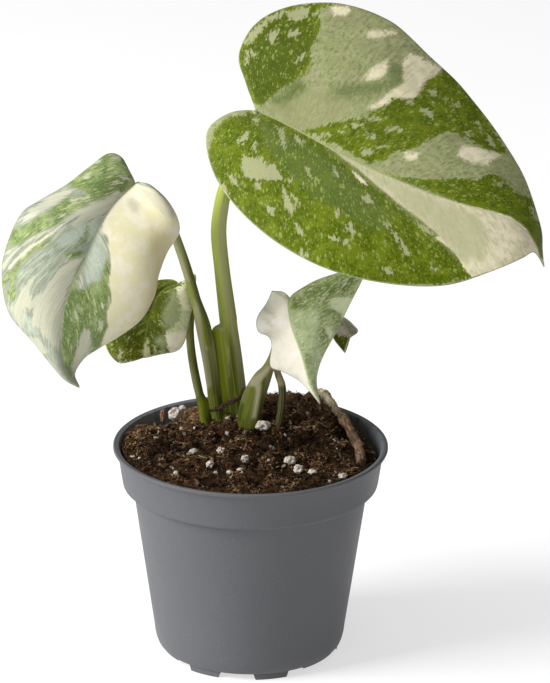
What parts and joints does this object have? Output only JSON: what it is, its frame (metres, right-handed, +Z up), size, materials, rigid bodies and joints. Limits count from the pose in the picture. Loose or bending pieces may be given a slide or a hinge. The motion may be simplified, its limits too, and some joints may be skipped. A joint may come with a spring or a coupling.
{
  "type": "potted house plant",
  "caption": "Young cream-and-green variegated monstera in a round grey nursery pot filled with peat and perlite.",
  "frame": {"origin": "on the floor under the middle of the bounding box of plant and pot together; the pot's axis stands 9.3 mm left of it and 2.0 mm in front of it", "axes": "+Z up, +X to the right and +Y to the back as the plant is seen from its front, with the large leaf to the right"},
  "size_m": [0.23, 0.124, 0.2769],
  "materials": {
    "pot_plastic": "moulded grey polypropylene, low sheen, scuffed",
    "peat": "moist fibrous peat with bark fines",
    "stem": "corky green-brown stem and roots",
    "petiole": "smooth green skin with pale stripes, soft gloss",
    "leaf": "waxy green blade marbled with sage and cream, soft gloss",
    "root": "dry corky tan skin",
    "bark": "rough bark",
    "perlite": "matte porous white grain"
  },
  "bodies": {
    "root": {"pot": "pot_plastic", "soil": "peat", "stem_base": "stem", "petiole_1": "petiole", "petiole_2": "petiole", "petiole_3": "petiole", "petiole_4": "petiole", "petiole_5": "petiole", "leaf_1": "leaf", "leaf_2": "leaf", "leaf_3": "leaf", "leaf_4": "leaf", "leaf_5": "leaf", "aerial_root": "root", "twig": "bark", "wood_chip": "bark", "perlite_1": "perlite", "perlite_2": "perlite", "perlite_3": "perlite", "perlite_4": "perlite", "perlite_5": "perlite", "perlite_6": "perlite", "perlite_7": "perlite", "perlite_8": "perlite", "perlite_9": "perlite", "perlite_10": "perlite", "perlite_11": "perlite"}
  },
  "joints": []
}
